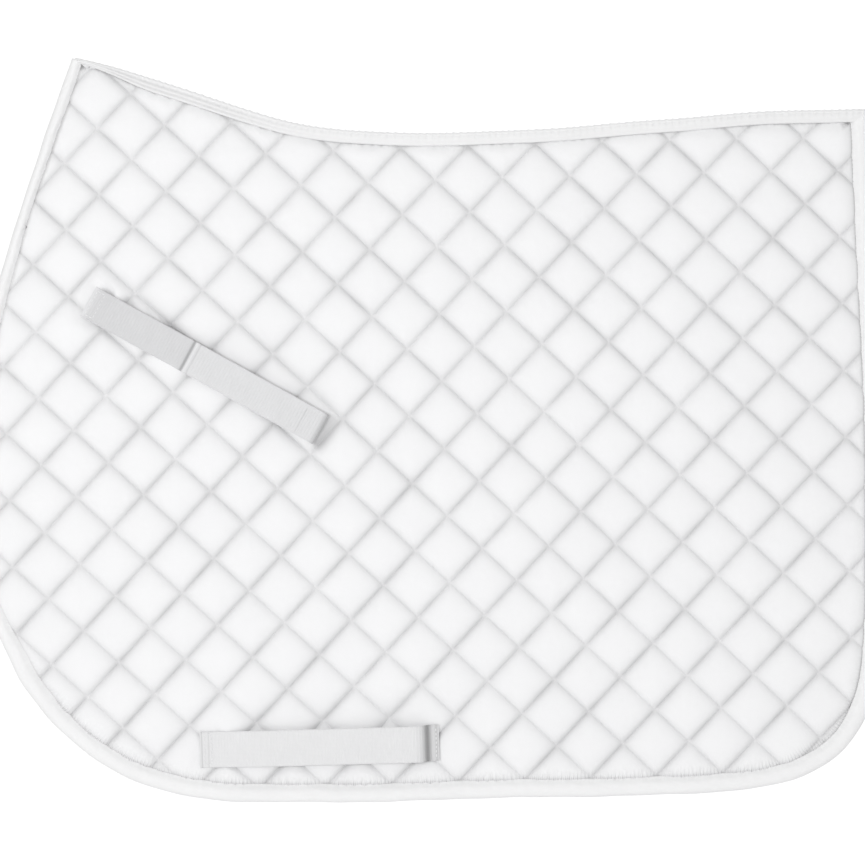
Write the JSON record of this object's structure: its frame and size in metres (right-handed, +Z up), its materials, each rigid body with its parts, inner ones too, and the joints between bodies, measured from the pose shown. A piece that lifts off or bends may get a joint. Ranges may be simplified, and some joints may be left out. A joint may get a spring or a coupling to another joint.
{
  "type": "saddle pad",
  "caption": "Quilted English-style horse saddle pad folded along its spine, with bound edges, hook-and-loop billet straps and sewn girth loops.",
  "frame": {"origin": "lowest (seat) point of the spine's outer edge, on the centre plane between the two folded panels", "axes": "+Z up, -X towards the horse's head, -Y the near (left) side; folded shut"},
  "size_m": [0.6378, 0.039, 0.5208],
  "materials": {
    "face_fabric": "woven poly-cotton",
    "lining_fabric": "woven cotton",
    "wadding": "polyester wadding",
    "binding_tape": "twill tape",
    "webbing": "grosgrain webbing",
    "loop_tape": "napped loop tape",
    "hook_tape": "hook tape",
    "thread": "sewing thread"
  },
  "bodies": {
    "spine": {"spine_tape": "binding_tape", "spine_tape_stitching": "thread", "front_crown_binding": "binding_tape", "rear_crown_binding": "binding_tape", "crown_binding_stitching": "thread", "left_ridge_face_fabric": "face_fabric", "left_ridge_wadding": "wadding", "left_ridge_lining_fabric": "lining_fabric", "left_ridge_quilting_threads": "thread", "right_ridge_face_fabric": "face_fabric", "right_ridge_wadding": "wadding", "right_ridge_lining_fabric": "lining_fabric", "right_ridge_quilting_threads": "thread"},
    "left_panel": {"left_face_fabric": "face_fabric", "left_wadding": "wadding", "left_lining_fabric": "lining_fabric", "left_quilting_threads": "thread", "left_edge_binding": "binding_tape", "left_binding_stitching": "thread", "left_billet_anchor": "webbing", "left_billet_anchor_stitching": "thread", "left_girth_strap": "webbing", "left_girth_strap_stitching": "thread"},
    "left_billet_strap_body": {"left_billet_strap": "webbing", "left_billet_loop_tape": "loop_tape"},
    "left_billet_tail_body": {"left_billet_tail": "webbing", "left_billet_hook_tape": "hook_tape"},
    "right_panel": {"right_face_fabric": "face_fabric", "right_wadding": "wadding", "right_lining_fabric": "lining_fabric", "right_quilting_threads": "thread", "right_edge_binding": "binding_tape", "right_binding_stitching": "thread", "right_billet_anchor": "webbing", "right_billet_anchor_stitching": "thread", "right_girth_strap": "webbing", "right_girth_strap_stitching": "thread"},
    "right_billet_strap_body": {"right_billet_strap": "webbing", "right_billet_loop_tape": "loop_tape"},
    "right_billet_tail_body": {"right_billet_tail": "webbing", "right_billet_hook_tape": "hook_tape"}
  },
  "joints": [
    {"name": "left_panel_fold", "type": "hinge", "parent": "spine", "child": "left_panel", "pos_m": [0, -0.0114, -0.012], "axis": [-1, 0, 0], "range_deg": [0, 90]},
    {"name": "left_billet_lift", "type": "hinge", "parent": "left_panel", "child": "left_billet_strap_body", "pos_m": [-0.21953, -0.0133, -0.124], "axis": [-0.4833, 0, -0.8755], "range_deg": [0, 120]},
    {"name": "left_billet_tail_peel", "type": "hinge", "parent": "left_billet_strap_body", "child": "left_billet_tail_body", "pos_m": [-0.06869, -0.01445, -0.20727], "axis": [0.4833, 0, 0.8755], "range_deg": [0, 170]},
    {"name": "right_panel_fold", "type": "hinge", "parent": "spine", "child": "right_panel", "pos_m": [0, 0.0114, -0.012], "axis": [1, 0, 0], "range_deg": [0, 90]},
    {"name": "right_billet_lift", "type": "hinge", "parent": "right_panel", "child": "right_billet_strap_body", "pos_m": [-0.21953, 0.0133, -0.124], "axis": [0.4833, 0, 0.8755], "range_deg": [0, 120]},
    {"name": "right_billet_tail_peel", "type": "hinge", "parent": "right_billet_strap_body", "child": "right_billet_tail_body", "pos_m": [-0.06869, 0.01445, -0.20727], "axis": [-0.4833, 0, -0.8755], "range_deg": [0, 170]}
  ]
}
